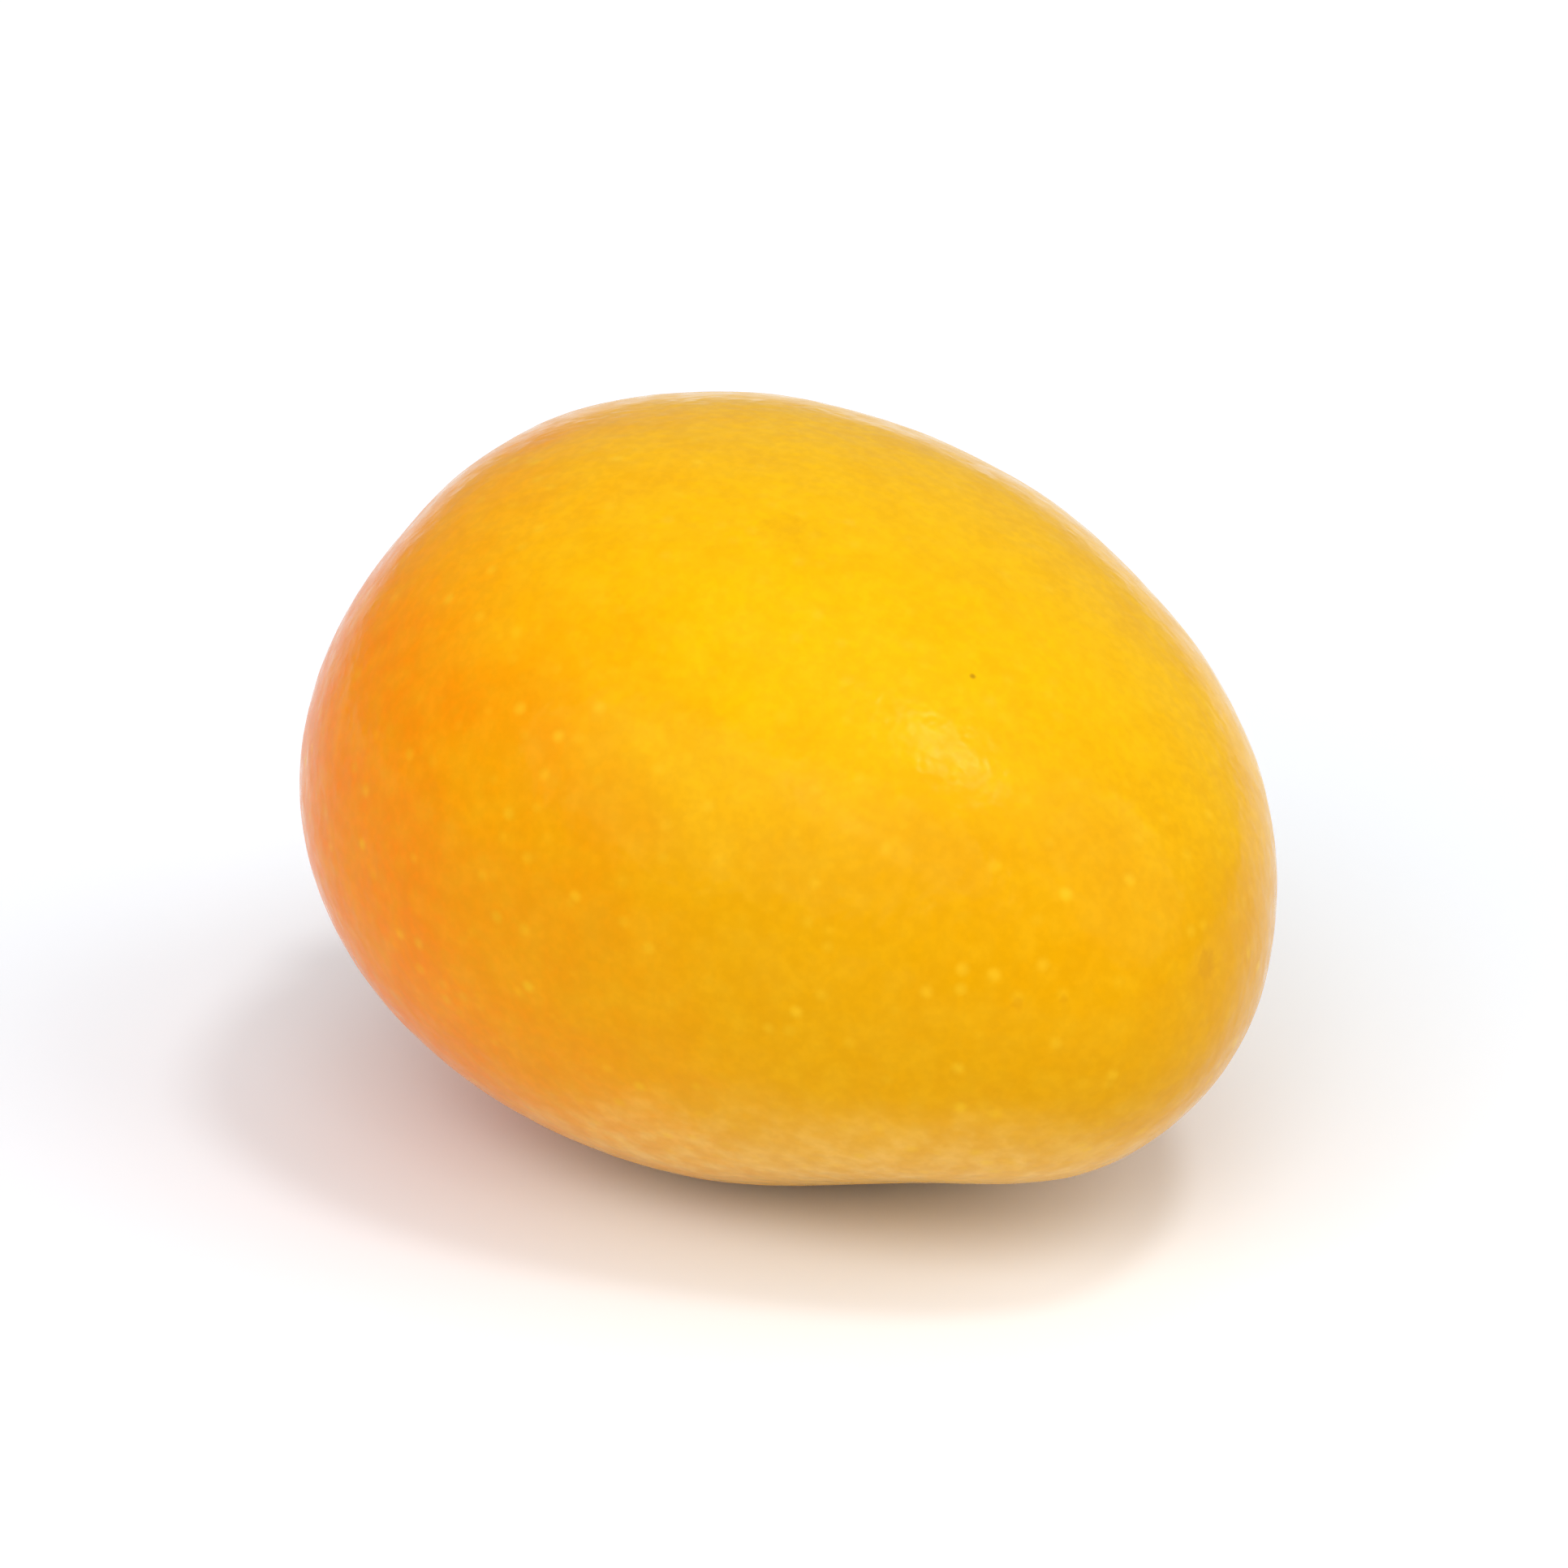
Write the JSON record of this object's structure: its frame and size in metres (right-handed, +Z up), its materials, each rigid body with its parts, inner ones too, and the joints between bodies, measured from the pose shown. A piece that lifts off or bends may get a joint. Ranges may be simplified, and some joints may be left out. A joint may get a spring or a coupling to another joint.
{
  "type": "mango",
  "caption": "Whole ripe yellow mango with an orange blush and a short stem stump, lying on its cheek on a small flat spot; food prop for tables, bowls and shelves.",
  "frame": {"origin": "on the surface the mango lies on, under the middle of its box", "axes": "+X along the fruit from the stem end to the tip, +Y towards its back, away from the belly, +Z up"},
  "size_m": [0.1008, 0.081, 0.0684],
  "materials": {
    "skin": "smooth waxy fruit skin with a soft satin gloss, golden yellow with an orange blush at the stem end, fine pale pores and a few small marks",
    "stem": "dry, matt, olive-brown stem wood with a paler cut end"
  },
  "bodies": {
    "root": {"fruit": "skin", "stem_stub": "stem"}
  },
  "joints": []
}
